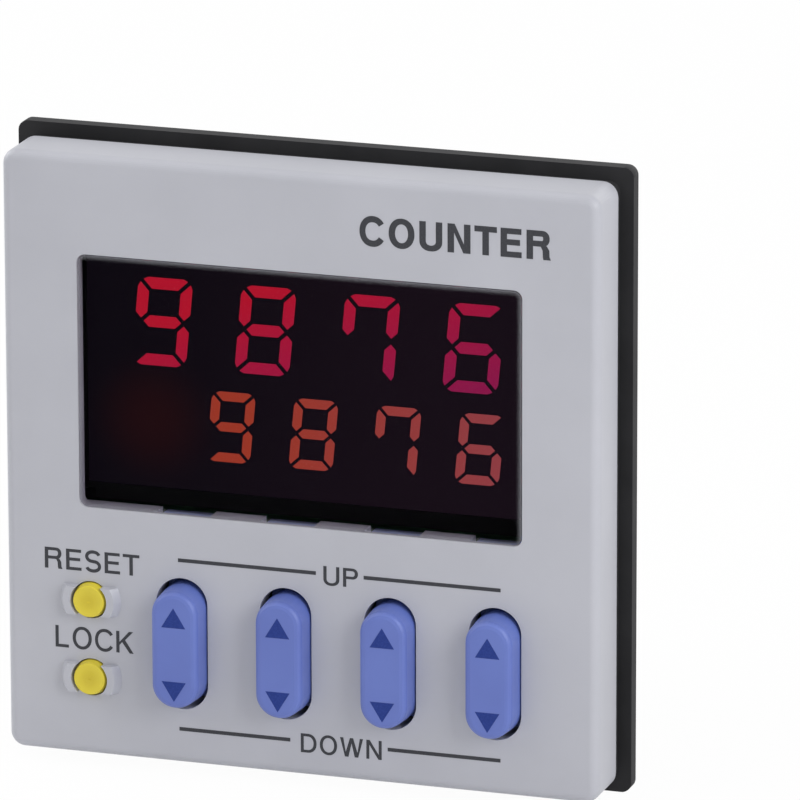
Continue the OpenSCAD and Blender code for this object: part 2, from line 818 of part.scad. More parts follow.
// Round base with a keyed post, clamped behind the case's rear wall. Its pins sit in eight-sided holes
module plug_base() {
    color([0.2, 0.17, 0.15]) difference() {
        union() {
            layer(flange_front, rear_wall_front) circle(d = base_d + 2 * base_flange, $fn = 96);
            layer(rear_wall_front - 0.01, base_back) circle(d = base_d, $fn = 96);
            layer(base_back - 0.01, base_back + post_l - post_lead_in) {
                circle(d = post_d);
                translate([-post_key_w / 2, -post_d / 2 - post_key_out])
                    square([post_key_w, post_d / 2 + post_key_out]);
            }
            layer(base_back - 0.01, base_back + post_l) circle(d = post_d - 2 * post_lead_in);
        }
        layer(flange_front - 1, base_back + 1) on_pin_circle() circle(r = pin_shank_r + pin_fit, $fn = 8);
    }
}

// Pins with thin soldered tails, eight-sided shanks in the base and rounded ends
module plug_pins() {
    color("khaki") {
        layer(power_front, flange_front + 0.1) on_pin_circle() circle(d = pin_tail_d);
        layer(flange_front, base_back + 0.1) on_pin_circle() circle(r = pin_shank_r, $fn = 8);
        at_depth(base_back) rotate([90, 0, 0]) mirror([0, 0, 1]) on_pin_circle()
            rotate_extrude() post_section(pin_d / 2, pin_tip, 0, pin_l);
    }
}

front_bezel();
panel_gasket();
display_lens();
digit_key_1();
digit_key_2();
digit_key_3();
digit_key_4();
key_shaft();
reset_button();
lock_button();
lcd_frame();
lcd_glass();
upper_digits();
lower_digits();
light_guide();
backlight_leds();
contact_strip();
display_board();
tact_switches();
microcontroller();
memory_chip();
header_blocks();
header_pins();
power_board();
transformer_core();
transformer_coil();
output_relay();
smoothing_capacitor();
surge_disc();
input_couplers();
rear_case();
plug_base();
plug_pins();
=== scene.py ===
# Preset counter for a 45 mm panel cut-out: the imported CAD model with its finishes, printed legends,
# floor, lamps and camera. The sections follow the order in which the counter is put together.
import math

import bmesh
import bpy
from mathutils import Matrix, Vector


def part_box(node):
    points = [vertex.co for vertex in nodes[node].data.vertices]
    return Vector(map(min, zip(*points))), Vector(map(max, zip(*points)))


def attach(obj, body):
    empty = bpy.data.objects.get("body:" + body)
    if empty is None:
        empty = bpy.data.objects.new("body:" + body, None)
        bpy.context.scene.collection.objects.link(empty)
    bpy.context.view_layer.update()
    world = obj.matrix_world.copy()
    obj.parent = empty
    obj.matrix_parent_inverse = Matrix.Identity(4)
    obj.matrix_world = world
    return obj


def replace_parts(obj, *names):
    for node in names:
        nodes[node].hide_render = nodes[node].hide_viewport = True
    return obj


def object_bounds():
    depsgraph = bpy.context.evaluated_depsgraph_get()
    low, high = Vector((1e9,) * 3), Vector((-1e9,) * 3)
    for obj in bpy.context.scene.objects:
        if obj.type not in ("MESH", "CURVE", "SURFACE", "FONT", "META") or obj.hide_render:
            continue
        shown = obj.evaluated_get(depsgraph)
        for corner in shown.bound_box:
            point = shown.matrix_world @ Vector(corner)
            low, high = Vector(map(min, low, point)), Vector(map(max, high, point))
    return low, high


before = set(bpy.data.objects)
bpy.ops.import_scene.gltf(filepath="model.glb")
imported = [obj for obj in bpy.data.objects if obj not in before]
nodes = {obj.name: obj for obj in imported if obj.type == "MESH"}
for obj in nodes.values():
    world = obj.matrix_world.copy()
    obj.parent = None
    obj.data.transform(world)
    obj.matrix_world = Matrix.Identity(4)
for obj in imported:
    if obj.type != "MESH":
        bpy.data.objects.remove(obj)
cad_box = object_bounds()


# ---- Front bezel ----
# One injection moulding of light grey ABS. Its mould was spark-eroded, which leaves a fine matt
# texture on every face, and its sharp edges came out a little rounded. It snaps into the case.
MM = 0.001


def linear(hex_colour):
    """A colour written in sRGB hex, as the linear values that a shader takes."""
    parts = [int(hex_colour[i:i + 2], 16) / 255 for i in (1, 3, 5)]
    return [c / 12.92 if c <= 0.04045 else ((c + 0.055) / 1.055) ** 2.4 for c in parts] + [1.0]


def add_node(tree, kind, settings=None, inputs=None):
    """Adds a node. An input is a plain value, or the output socket that it is linked from."""
    node = tree.nodes.new(kind)
    for name, value in (settings or {}).items():
        setattr(node, name, value)
    for socket, value in (inputs or {}).items():
        if isinstance(value, bpy.types.NodeSocket):
            tree.links.new(value, node.inputs[socket])
        else:
            node.inputs[socket].default_value = value
    return node


def new_material(name):
    """An empty material with its shader: (material, tree, shader, object coordinates)."""
    material = bpy.data.materials.new(name)
    material.use_nodes = True
    tree = material.node_tree
    place = add_node(tree, "ShaderNodeTexCoord").outputs["Object"]
    return material, tree, tree.nodes["Principled BSDF"], place


def moulded(name, colour, shade, roughness, grain_mm, depth_mm, cloud_mm=9.0, specular=0.5):
    """Moulded plastic: a matt grain from the mould and a slow drift of colour to a second shade."""
    material, tree, shader, place = new_material(name)
    cloud = add_node(tree, "ShaderNodeTexNoise", inputs={
        "Vector": place, "Scale": 1 / (cloud_mm * MM), "Detail": 3.0})
    drift = add_node(tree, "ShaderNodeValToRGB", inputs={"Fac": cloud.outputs["Fac"]})
    for stop, position, tone in zip(drift.color_ramp.elements, (0.35, 0.65), (shade, colour)):
        stop.position, stop.color = position, linear(tone)
    grain = add_node(tree, "ShaderNodeTexNoise", inputs={
        "Vector": place, "Scale": 1 / (grain_mm * MM), "Detail": 2.0, "Roughness": 0.6})
    relief = add_node(tree, "ShaderNodeBump", inputs={
        "Height": grain.outputs["Fac"], "Distance": depth_mm * MM, "Strength": 1.0})
    tree.links.new(drift.outputs["Color"], shader.inputs["Base Color"])
    tree.links.new(relief.outputs["Normal"], shader.inputs["Normal"])
    shader.inputs["Roughness"].default_value = roughness
    shader.inputs["Specular IOR Level"].default_value = specular
    shader.inputs["IOR"].default_value = 1.5
    return material


def finish(names, material):
    """Gives CAD nodes their finish."""
    for name in names:
        nodes[name].data.materials.clear()
        nodes[name].data.materials.append(material)


def soften(name, radius_mm, angle_deg=32):
    """Joins a CAD node's loose triangles and gives its sharp edges a moulding's small radius."""
    weld = nodes[name].modifiers.new("join", "WELD")
    weld.merge_threshold = 0.002 * MM
    round_off = nodes[name].modifiers.new("edge", "BEVEL")
    round_off.limit_method = "ANGLE"
    round_off.angle_limit = math.radians(angle_deg)
    round_off.width = radius_mm * MM
    round_off.segments = 2
    round_off.harden_normals = True
    round_off.use_clamp_overlap = True


# Spark-eroded grain is about 0.1 mm. It is drawn at 0.14 mm so that it just shows.
grey_abs = moulded("spark_textured_light_grey_abs", "#B4B5BD", "#B0B1B9", 0.42, 0.14, 0.004)
finish(["front_bezel"], grey_abs)
soften("front_bezel", 0.12)


# ---- Printed legends ----
# Pad-printed dark grey ink on the bezel: five words, and the rules on each side of UP and DOWN.
# The ink film stands about a hundredth of a millimetre proud, with crisp edges and a dull surface.
face_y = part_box("display_lens")[0].y
ink_proud = 0.012 * MM
ink_sunk = 0.004 * MM


def pad_ink(name, thin, full, roughness, specular):
    """Pad-printed ink, speckled between the colours of its thin and its full places."""
    ink, tree, shader, place = new_material(name)
    speckle = add_node(tree, "ShaderNodeTexNoise", inputs={
        "Vector": place, "Scale": 1 / (0.12 * MM)})
    coverage = add_node(tree, "ShaderNodeValToRGB", inputs={"Fac": speckle.outputs["Fac"]})
    for stop, position, colour in zip(coverage.color_ramp.elements, (0.3, 0.6), (thin, full)):
        stop.position, stop.color = position, linear(colour)
    tree.links.new(coverage.outputs["Color"], shader.inputs["Base Color"])
    shader.inputs["Roughness"].default_value = roughness
    shader.inputs["Specular IOR Level"].default_value = specular
    return ink


grey_ink = pad_ink("pad_printed_dark_grey_ink", "#3F4045", "#35363B",
                   roughness=0.55, specular=0.25)


def arc(middle, across, up, start, end, bulge=2.1, steps=24):
    """Points on an oval, between two angles in degrees. A bulge over 2 squares the oval off."""
    points = []
    for i in range(steps + 1):
        turn = math.radians(start + (end - start) * i / steps)
        c, s = math.cos(turn), math.sin(turn)
        points.append((middle[0] + across * math.copysign(abs(c) ** (2 / bulge), c),
                       middle[1] + up * math.copysign(abs(s) ** (2 / bulge), s)))
    return points


def pen_stroke(line, pen):
    """The outline of a pen of that width, drawn along a line of points, with square ends."""
    edges = []
    for side in (1, -1):
        edge = []
        for i, (x, y) in enumerate(line):
            before, after = line[max(i - 1, 0)], line[min(i + 1, len(line) - 1)]
            dx, dy = after[0] - before[0], after[1] - before[1]
            reach = side * pen / 2 / math.hypot(dx, dy)
            edge.append((x - dy * reach, y + dx * reach))
        edges.append(edge)
    return edges[0] + edges[1][::-1]


def letter(name, s, t):
    """A plain capital one unit high: its width and outlines, with stems s and bars t thick."""
    bold = s - 0.12
    if name == "C":
        w = 0.86 + 0.7 * bold
        bend = arc((0.53 * w, 0.5), (1.06 * w - s) / 2, (1.05 - t) / 2, 33, 327, 2.15, 40)
        return w, [pen_stroke(bend, (s + t) / 2)]
    if name == "D":
        w, r = 0.84, 0.47
        return w, [[(0, 0), (0, 1)] + arc((w - r, 0.5), r, 0.5, 90, -90, 2.2),
                   [(s, t), (s, 1 - t)] + arc((w - r, 0.5), r - s, 0.5 - t, 90, -90, 2.2)]
    if name == "E":
        w, bar = 0.73 + 0.4 * bold, 0.52
        return w, [[(0, 0), (0, 1), (w - 0.01, 1), (w - 0.01, 1 - t), (s, 1 - t), (s, bar + t / 2),
                    (w - 0.06, bar + t / 2), (w - 0.06, bar - t / 2), (s, bar - t / 2),
                    (s, t), (w, t), (w, 0)]]
    if name == "K":
        w = 0.83
        return w, [[(0, 0), (0, 1), (s, 1), (s, 0.5), (w - 1.28 * s - 0.02, 1), (w - 0.02, 1),
                    (0.427, 0.6), (w, 0), (w - 1.2 * s, 0), (0.278, 0.495), (s, 0.35), (s, 0)]]
    if name == "L":
        return 0.64, [[(0, 0), (0, 1), (s, 1), (s, t), (0.64, t), (0.64, 0)]]
    if name == "N":
        w = 0.80 + 0.4 * bold
        return w, [[(0, 0), (0, 1), (1.1 * s, 1), (w - s, 0.16 + 0.6 * s), (w - s, 1), (w, 1),
                    (w, 0), (w - 1.1 * s, 0), (s, 0.84 - 0.6 * s), (s, 0)]]
    if name == "O":
        w = 0.90 + 0.5 * bold
        return w, [arc((w / 2, 0.5), w / 2 - inset, 0.525 - thin, 0, 360, 2.1, 56)[:-1]
                   for inset, thin in ((0, 0), (s, t))]
    if name == "P" or name == "R":
        w, foot = (0.76, 0.42) if name == "P" else (0.79 + 0.5 * bold, 0.45)
        r = (1 - foot) / 2
        bowl = arc((w - r, 1 - r), r, r, 90, -90, 2.15)
        hole = [(s, foot + t), (s, 1 - t)] + arc((w - r, 1 - r), r - s, r - t, 90, -90, 2.15)
        if name == "P":
            return w, [[(0, 0), (0, 1)] + bowl + [(s, foot), (s, 0)], hole]
        return w + 0.045, [[(0, 0), (0, 1)] + bowl[:-4] + [
            (w - 0.10, foot + 0.02), (w - 0.01, foot - 0.12), (w - 0.005, 0.12), (w + 0.045, 0),
            (w + 0.045 - 1.15 * s, 0), (w - s - 0.01, 0.10), (w - s - 0.02, foot - 0.13),
            (w - s - 0.09, foot), (s, foot), (s, 0)], hole]
    if name == "S":
        w = 0.80
        a, b = (w - s) / 2, (1.05 - t) / 4
        bend = arc((w / 2, 0.5 + b), 0.97 * a, b, 18, 250) + arc((w / 2, 0.5 - b), a, b, 70, -162)
        return w, [pen_stroke(bend, (s + t) / 2)]
    if name == "T":
        w = 0.80 + 0.25 * bold
        return w, [[(0, 1 - t), (0, 1), (w, 1), (w, 1 - t), ((w + s) / 2, 1 - t), ((w + s) / 2, 0),
                    ((w - s) / 2, 0), ((w - s) / 2, 1 - t)]]
    if name == "U":
        w = 0.79 + 0.5 * bold
        inner = arc((w / 2, 0.33), w / 2 - s, 0.355 - t, 180, 360, 2.2)
        outer = arc((w / 2, 0.33), w / 2, 0.355, 0, -180, 2.2)
        return w, [[(0, 1), (s, 1)] + inner + [(w - s, 1), (w, 1)] + outer]
    # The letter W
    w, q = 1.22, 1.06 * s
    return w, [[(0, 1), (q, 1), (0.245 * w, 0.25), (0.5 * w - q / 2, 1), (0.5 * w + q / 2, 1),
                (0.755 * w, 0.25), (w - q, 1), (w, 1), (0.79 * w, 0), (0.79 * w - 1.1 * q, 0),
                (0.5 * w, 0.72), (0.21 * w + 1.1 * q, 0), (0.21 * w, 0)]]


# The white on each side of a letter
SIDE_GAPS = {"C": 0.065, "D": 0.09, "E": 0.09, "K": 0.075, "L": 0.10, "N": 0.10, "O": 0.085,
             "P": 0.09, "R": 0.09, "S": 0.075, "T": 0.045, "U": 0.095, "W": 0.075}


def word_outlines(word, left, right, middle, cap_height, s, t):
    """A word's outlines in millimetres, set between two ends."""
    x, outlines = 0.0, []
    for c in word:
        w, shape = letter(c, s, t)
        x += SIDE_GAPS[c] if outlines else 0.0
        outlines += [[(x + px, py) for px, py in outline] for outline in shape]
        x += w + SIDE_GAPS[c]
    across = (right - left) / (x - SIDE_GAPS[word[-1]])
    low = middle - cap_height / 2
    return [[(left + across * px, low + cap_height * py) for px, py in outline]
            for outline in outlines]


def printed(name, outlines):
    """A film of ink on the bezel, filled between outlines that are given in millimetres."""
    drawn = bpy.data.curves.new(name, "CURVE")
    drawn.dimensions = "2D"
    drawn.fill_mode = "BOTH"
    drawn.extrude = 0.5
    for outline in outlines:
        spline = drawn.splines.new("POLY")
        spline.points.add(len(outline) - 1)
        for point, (x, z) in zip(spline.points, outline):
            point.co = (x, z, 0, 1)
        spline.use_cyclic_u = True
    shape = bpy.data.objects.new("shape", drawn)
    bpy.context.scene.collection.objects.link(shape)
    bpy.context.view_layer.update()
    solid = shape.evaluated_get(bpy.context.evaluated_depsgraph_get())
    mesh = bpy.data.meshes.new_from_object(solid)
    bpy.data.objects.remove(shape)
    # The shape's two sides, half a unit either way, become the ink's front and back
    for v in mesh.vertices:
        y = face_y - ink_proud if v.co.z > 0 else face_y + ink_sunk
        v.co = (MM * v.co.x, y, MM * v.co.y)
    mesh.materials.clear()
    mesh.materials.append(grey_ink)
    piece = bpy.data.objects.new("printed_" + name, mesh)
    bpy.context.scene.collection.objects.link(piece)
    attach(piece, "housing")


# Each word: left end, right end, middle height and cap height in millimetres, then its two strokes
# as parts of the cap height
printed("reset", word_outlines("RESET", -20.80, -13.02, -8.30, 1.69, 0.17, 0.145))
printed("lock", word_outlines("LOCK", -20.00, -13.57, -14.59, 1.75, 0.155, 0.14))
printed("up", word_outlines("UP", 1.95, 4.75, -7.66, 1.51, 0.165, 0.145))
printed("down", word_outlines("DOWN", 0.05, 6.62, -21.30, 1.53, 0.16, 0.145))
printed("counter", word_outlines("COUNTER", 4.95, 20.15, 19.90, 2.26, 0.24, 0.20))

rule_t = 0.30
for name, z, ends in (("up_rules", -7.54, (-9.87, 1.35, 5.20, 16.20)),
                      ("down_rules", -21.16, (-9.87, -0.80, 7.10, 16.20))):
    low, high = z - rule_t / 2, z + rule_t / 2
    printed(name, [[(x0, low), (x1, low), (x1, high), (x0, high)]
                   for x0, x1 in (ends[:2], ends[2:])])


# ---- Display lens ----
# Injection-moulded, lightly smoked acrylic with a front coated against glare, held in the window
# by its flange. The window's walls show through it along the left and the bottom.
smoked_acrylic, tree, shader, place = new_material("glare_coated_smoked_acrylic")
shader.inputs["Base Color"].default_value = linear("#DCDADF")
shader.inputs["Roughness"].default_value = 0.02
shader.inputs["IOR"].default_value = 1.49
# The coating is a black tint: the front mirrors nothing head on, and more towards the side
shader.inputs["Specular Tint"].default_value = linear("#000000")
shader.inputs["Transmission Weight"].default_value = 1.0
ripple_size = 6 * MM
ripple = add_node(tree, "ShaderNodeTexNoise", inputs={
    "Vector": place, "Scale": 1 / ripple_size, "Detail": 1.0})
relief = add_node(tree, "ShaderNodeBump", inputs={
    "Height": ripple.outputs["Fac"], "Distance": 0.002 * MM, "Strength": 1.0})
tree.links.new(relief.outputs["Normal"], shader.inputs["Normal"])
# The lens's moulded edge is slightly round and gathers light, shown as a painted highlight: a soft
# grey rim that fades inwards.
# In millimetres: half the window's width and height, the height of its middle, the radius of its
# corners and the width of the rim
half_w, half_h, middle_z, corner, rim = 17.90, 10.08, 6.12, 0.70, 0.55
# The rim's share of the front is the square of a ramp that ends at this value at the window's edge
ramp_end = 0.72
from_middle = add_node(tree, "ShaderNodeVectorMath", {"operation": "SUBTRACT"}, {
    0: place, 1: (0, 0, middle_z * MM)})
quarter = add_node(tree, "ShaderNodeVectorMath", {"operation": "ABSOLUTE"}, {
    0: from_middle.outputs[0]})
past_corner = add_node(tree, "ShaderNodeVectorMath", {"operation": "SUBTRACT"}, {
    0: quarter.outputs[0], 1: ((half_w - corner) * MM, 1, (half_h - corner) * MM)})
outwards = add_node(tree, "ShaderNodeVectorMath", {"operation": "MAXIMUM"}, {
    0: past_corner.outputs[0], 1: (0, 0, 0)})
near_edge = add_node(tree, "ShaderNodeVectorMath", {"operation": "LENGTH"}, {
    0: outwards.outputs[0]})
fade = add_node(tree, "ShaderNodeMapRange", inputs={
    "Value": near_edge.outputs["Value"], "From Min": (corner - rim) * MM, "From Max": corner * MM,
    "To Min": 0.0, "To Max": ramp_end})
share = add_node(tree, "ShaderNodeMath", {"operation": "MULTIPLY"}, {
    0: fade.outputs[0], 1: fade.outputs[0]})
# Painted highlight: a matt grey mixed into the lens along its edge
painted_rim_highlight = add_node(tree, "ShaderNodeBsdfDiffuse", inputs={"Color": linear("#A8A9B0")})
lens_with_painted_rim = add_node(tree, "ShaderNodeMixShader", inputs={
    "Fac": share.outputs[0], 1: shader.outputs["BSDF"], 2: painted_rim_highlight.outputs["BSDF"]})
# Only a thin skin at the front bends light. The faces behind it are a clear tint, and so is the
# whole lens to the rays that look for a lamp
front_skin = 0.05 * MM
seen = add_node(tree, "ShaderNodeLightPath")
depth = add_node(tree, "ShaderNodeSeparateXYZ", inputs={"Vector": place})
behind = add_node(tree, "ShaderNodeMath", {"operation": "GREATER_THAN"}, {
    0: depth.outputs["Y"], 1: face_y + front_skin})
plain = add_node(tree, "ShaderNodeMath", {"operation": "MAXIMUM"}, {
    0: seen.outputs["Is Shadow Ray"], 1: behind.outputs[0]})
tinted = add_node(tree, "ShaderNodeBsdfTransparent", inputs={"Color": linear("#EDEBEF")})
lit_through = add_node(tree, "ShaderNodeMixShader", inputs={
    "Fac": plain.outputs[0], 1: lens_with_painted_rim.outputs["Shader"], 2: tinted.outputs["BSDF"]})
tree.links.new(lit_through.outputs["Shader"], tree.nodes["Material Output"].inputs["Surface"])
finish(["display_lens"], smoked_acrylic)


# ---- Rocker keys and their shaft ----
# Four mid-blue ABS rockers from one mould, satin, which turn on a ground steel pin behind the
# front. Each has an up and a down triangle pad-printed on its face in navy ink.
blue_abs = moulded("satin_mid_blue_abs", "#6072BA", "#5C6DB5", 0.38, 0.10, 0.002, cloud_mm=5.0)
key_names = ["digit_key_%d" % n for n in range(1, 5)]
finish(key_names, blue_abs)


def lined_metal(name, colour, squeeze, line_mm, smoothest, roughest):
    """Metal whose roughness varies in fine lines, drawn by squeezing a noise across them."""
    metal, tree, shader, place = new_material(name)
    along = add_node(tree, "ShaderNodeMapping", inputs={"Vector": place, "Scale": squeeze})
    lines = add_node(tree, "ShaderNodeTexNoise", inputs={
        "Vector": along.outputs["Vector"], "Scale": 1 / (line_mm * MM)})
    spread = add_node(tree, "ShaderNodeMapRange", inputs={
        "Value": lines.outputs["Fac"], "To Min": smoothest, "To Max": roughest})
    tree.links.new(spread.outputs["Result"], shader.inputs["Roughness"])
    shader.inputs["Base Color"].default_value = linear(colour)
    shader.inputs["Metallic"].default_value = 1.0
    return metal


ground_steel = lined_metal("ground_steel", "#B9B9BC", squeeze=(1, 20, 20), line_mm=2,
                           smoothest=0.22, roughest=0.4)
finish(["key_shaft"], ground_steel)

navy_ink = pad_ink("pad_printed_navy_ink", "#263B85", "#1F347C", roughness=0.5, specular=0.2)

key_arrows = bpy.data.node_groups.new("key_arrows", "GeometryNodeTree")
for name in ("Key middle X", "Face Y", "Up middle Z", "Down middle Z", "Width", "Height",
             "Ink thickness"):
    key_arrows.interface.new_socket(name, in_out="INPUT", socket_type="NodeSocketFloat")
key_arrows.interface.new_socket("Geometry", in_out="OUTPUT", socket_type="NodeSocketGeometry")
given = add_node(key_arrows, "NodeGroupInput").outputs
prism = add_node(key_arrows, "GeometryNodeMeshCylinder", {"fill_type": "NGON"}, {
    "Vertices": 3, "Radius": 1.0, "Depth": 1.0})
wide = add_node(key_arrows, "ShaderNodeMath", {"operation": "MULTIPLY"}, {
    0: given["Width"], 1: 1 / math.sqrt(3)})
tall = add_node(key_arrows, "ShaderNodeMath", {"operation": "MULTIPLY"}, {
    0: given["Height"], 1: 2 / 3})
stretch = add_node(key_arrows, "ShaderNodeCombineXYZ", inputs={
    "X": tall.outputs[0], "Y": wide.outputs[0], "Z": given["Ink thickness"]})
# The prism's first corner lies on +X, so a quarter turn about Z and one about X stand it upright
sized = add_node(key_arrows, "GeometryNodeTransform", inputs={
    "Geometry": prism.outputs["Mesh"], "Scale": stretch.outputs[0]})
standing = add_node(key_arrows, "GeometryNodeTransform", inputs={
    "Geometry": sized.outputs["Geometry"], "Rotation": (-math.pi / 2, -math.pi / 2, 0)})
first = add_node(key_arrows, "ShaderNodeCombineXYZ", inputs={
    "X": given["Key middle X"], "Y": given["Face Y"], "Z": given["Up middle Z"]})
second = add_node(key_arrows, "ShaderNodeCombineXYZ", inputs={
    "X": given["Key middle X"], "Y": given["Face Y"], "Z": given["Down middle Z"]})
pair = add_node(key_arrows, "GeometryNodeMeshLine", {"mode": "END_POINTS"}, {
    "Count": 2, "Start Location": first.outputs[0], "Offset": second.outputs[0]})
order = add_node(key_arrows, "GeometryNodeInputIndex")
half_turn = add_node(key_arrows, "ShaderNodeMath", {"operation": "MULTIPLY"}, {
    0: order.outputs[0], 1: math.pi})
turned = add_node(key_arrows, "ShaderNodeCombineXYZ", inputs={"Y": half_turn.outputs[0]})
placed = add_node(key_arrows, "GeometryNodeInstanceOnPoints", inputs={
    "Points": pair.outputs["Mesh"], "Instance": standing.outputs["Geometry"],
    "Rotation": turned.outputs[0]})
real = add_node(key_arrows, "GeometryNodeRealizeInstances", inputs={
    "Geometry": placed.outputs["Instances"]})
add_node(key_arrows, "NodeGroupOutput", inputs={"Geometry": real.outputs["Geometry"]})

# In millimetres: the triangles' size, and the heights of their points
arrow_w, arrow_h = 1.97, 1.60
up_point_z, down_point_z = -10.82, -18.36
for name in key_names:
    low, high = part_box(name)
    arrows = bpy.data.objects.new(name + "_arrows", bpy.data.meshes.new(name + "_arrows"))
    bpy.context.scene.collection.objects.link(arrows)
    made = arrows.modifiers.new("arrows", "NODES")
    made.node_group = key_arrows
    # The middle of each triangle's circle is two thirds of its height from its point
    sizes = {"Key middle X": (low.x + high.x) / 2, "Face Y": low.y + (ink_sunk - ink_proud) / 2,
             "Up middle Z": (up_point_z - arrow_h * 2 / 3) * MM,
             "Down middle Z": (down_point_z + arrow_h * 2 / 3) * MM,
             "Width": arrow_w * MM, "Height": arrow_h * MM, "Ink thickness": ink_proud + ink_sunk}
    for socket in key_arrows.interface.items_tree:
        if socket.in_out == "INPUT":
            made[socket.identifier] = sizes[socket.name]
    bpy.context.view_layer.update()
    solid = arrows.evaluated_get(bpy.context.evaluated_depsgraph_get())
    mesh = bpy.data.meshes.new_from_object(solid)
    mesh.materials.clear()
    mesh.materials.append(navy_ink)
    arrows.modifiers.remove(made)
    arrows.data = mesh
    mesh.name = name + "_arrows"
    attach(arrows, name)


# ---- Push buttons ----
# Two small round buttons of yellow ABS with slightly dished tops, each in a bush of the bezel, with
# a flange behind it that keeps it in. The middle of each top is painted darker: painted shade of its
# dish.
# Radius in millimetres of the painted shade at the middle of each top
dish_shade_r = 1.2
for name, material_name in (("reset_button", "satin_yellow_abs_reset"),
                            ("lock_button", "satin_yellow_abs_lock")):
    low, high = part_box(name)
    yellow_abs, tree, shader, place = new_material(material_name)
    from_middle = add_node(tree, "ShaderNodeVectorMath", {"operation": "DISTANCE"}, {
        0: place, 1: ((low.x + high.x) / 2, low.y, (low.z + high.z) / 2)})
    out = add_node(tree, "ShaderNodeMapRange", {"interpolation_type": "SMOOTHSTEP"}, {
        "Value": from_middle.outputs["Value"], "From Max": dish_shade_r * MM})
    # Painted shade of the dish: each top is darker towards its middle
    painted_dish_shade = add_node(tree, "ShaderNodeMix", {"data_type": "RGBA"}, {
        "Factor": out.outputs["Result"], "A": linear("#C8B324"), "B": linear("#D6C434")})
    grain = add_node(tree, "ShaderNodeTexNoise", inputs={
        "Vector": place, "Scale": 1 / (0.1 * MM), "Detail": 2.0})
    relief = add_node(tree, "ShaderNodeBump", inputs={
        "Height": grain.outputs["Fac"], "Distance": 0.0015 * MM, "Strength": 1.0})
    tree.links.new(painted_dish_shade.outputs["Result"], shader.inputs["Base Color"])
    tree.links.new(relief.outputs["Normal"], shader.inputs["Normal"])
    shader.inputs["Roughness"].default_value = 0.36
    shader.inputs["IOR"].default_value = 1.5
    finish([name], yellow_abs)


# ---- Display: frame, glass, segments, light guide and lamps ----
# A black moulded frame holds the dark glass behind the lens. The segments are open windows in the
# glass, lit from the lamps behind, red in the upper row and orange in the lower one. The colour
# drifts towards magenta and salmon away from the lamps.
black_abs = moulded("matt_black_abs", "#060607", "#040405", 0.7, 0.10, 0.002, specular=0.05)
finish(["lcd_frame"], black_abs)

# A little light leaks through the dark glass: dim plum on the right, and a red patch near the left.
# In millimetres: the ends of the drift, and the patch's middle, its radius and its even core
drift_left, drift_right = -20, 12
patch_x, patch_z, patch_r, patch_core = -12.5, 3, 7, 1
dark_glass, tree, shader, place = new_material("dark_display_glass")
shader.inputs["Base Color"].default_value = linear("#020203")
shader.inputs["Roughness"].default_value = 0.4
shader.inputs["Specular IOR Level"].default_value = 0.01
axes = add_node(tree, "ShaderNodeSeparateXYZ", inputs={"Vector": place})
rightward = add_node(tree, "ShaderNodeMapRange", {"interpolation_type": "SMOOTHSTEP"}, {
    "Value": axes.outputs["X"], "From Min": drift_left * MM, "From Max": drift_right * MM})
dim = add_node(tree, "ShaderNodeMix", {"data_type": "RGBA"}, {
    "Factor": rightward.outputs["Result"], "A": linear("#0E0A11"), "B": linear("#1A1119")})
from_patch = add_node(tree, "ShaderNodeVectorMath", {"operation": "DISTANCE"}, {
    0: place, 1: (patch_x * MM, face_y, patch_z * MM)})
near_patch = add_node(tree, "ShaderNodeMapRange", {"interpolation_type": "SMOOTHERSTEP"}, {
    "Value": from_patch.outputs["Value"], "From Min": patch_r * MM, "From Max": patch_core * MM})
leak = add_node(tree, "ShaderNodeMix", {"data_type": "RGBA"}, {
    "Factor": near_patch.outputs["Result"], "A": dim.outputs["Result"], "B": linear("#290F11")})
tree.links.new(leak.outputs["Result"], shader.inputs["Emission Color"])
shader.inputs["Emission Strength"].default_value = 1.0
finish(["lcd_glass"], dark_glass)


def lit_segments(name, near, far, x_share, z_share, offset):
    """Light through a row of segments, from its near colour to its far one. The far colour's part
    is the offset, plus so much for each millimetre to the right and so much for each upwards."""
    material, tree, shader, place = new_material(name)
    axes = add_node(tree, "ShaderNodeSeparateXYZ", inputs={"Vector": place})
    across = add_node(tree, "ShaderNodeMath", {"operation": "MULTIPLY_ADD"}, {
        0: axes.outputs["X"], 1: x_share / MM, 2: offset})
    drift = add_node(tree, "ShaderNodeMath", {"operation": "MULTIPLY_ADD"}, {
        0: axes.outputs["Z"], 1: z_share / MM, 2: across.outputs[0]})
    glow = add_node(tree, "ShaderNodeMix", {"data_type": "RGBA"}, {
        "Factor": drift.outputs[0], "A": linear(near), "B": linear(far)})
    tree.links.new(glow.outputs["Result"], shader.inputs["Emission Color"])
    shader.inputs["Emission Strength"].default_value = 1.13
    shader.inputs["Base Color"].default_value = linear("#1A0508")
    shader.inputs["Roughness"].default_value = 0.4
    shader.inputs["Specular IOR Level"].default_value = 0.05
    return material


# A segment's outline, in parts of the figure's height from its middle, for the bar at the top, the
# upper one on the right and the one across the middle. The rest are these, mirrored. The values: a
# segment's width, half the figure's width, the gap between segments and the cut at their corners
stroke, half, gap, clip = 0.13, 0.315, 0.034, 0.025
top_bar = [(-half + gap + clip, 0.5 - clip), (-half + gap + 3 * clip, 0.5),
           (half - gap - 3 * clip, 0.5), (half - gap - clip, 0.5 - clip),
           (half - stroke - gap, 0.5 - stroke), (-half + stroke + gap, 0.5 - stroke)]
side_bar = [(half - clip, 0.5 - gap - clip), (half, 0.5 - gap - 3 * clip),
            (half, stroke / 2 + gap), (half - stroke / 2, gap),
            (half - stroke, stroke / 2 + gap), (half - stroke, 0.5 - stroke - gap)]
tip = half - stroke / 2 - gap
middle_bar = [(-tip, 0), (stroke / 2 - tip, stroke / 2), (tip - stroke / 2, stroke / 2), (tip, 0),
              (tip - stroke / 2, -stroke / 2), (stroke / 2 - tip, -stroke / 2)]
